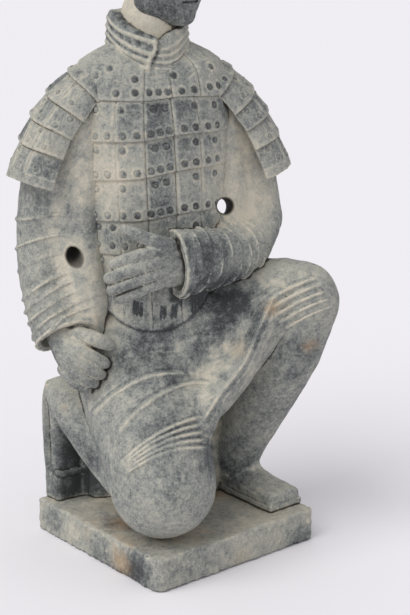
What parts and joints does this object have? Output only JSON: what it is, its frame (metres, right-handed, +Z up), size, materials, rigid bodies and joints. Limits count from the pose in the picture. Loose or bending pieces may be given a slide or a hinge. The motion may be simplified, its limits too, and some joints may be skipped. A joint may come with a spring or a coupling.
{
  "type": "kneeling armoured figure statue",
  "caption": "Kneeling armoured guard figure in fired grey clay, one knee down, wound collar and plated armour, on a square slab plinth.",
  "frame": {"origin": "centre of the plinth's underside", "axes": "+Z up, the plinth's front edge and the figure's face towards -Y, the figure's left hand side towards +X"},
  "size_m": [0.1793, 0.1435, 0.4121],
  "materials": {
    "fired_clay": "matte grey-blue fired clay with beige dust in the recesses, unglazed",
    "plinth_clay": "matte grey-beige fired clay, dusty on top, rough on the sides"
  },
  "bodies": {
    "root": {"kneeling_figure": "fired_clay", "plinth": "plinth_clay"}
  },
  "joints": []
}
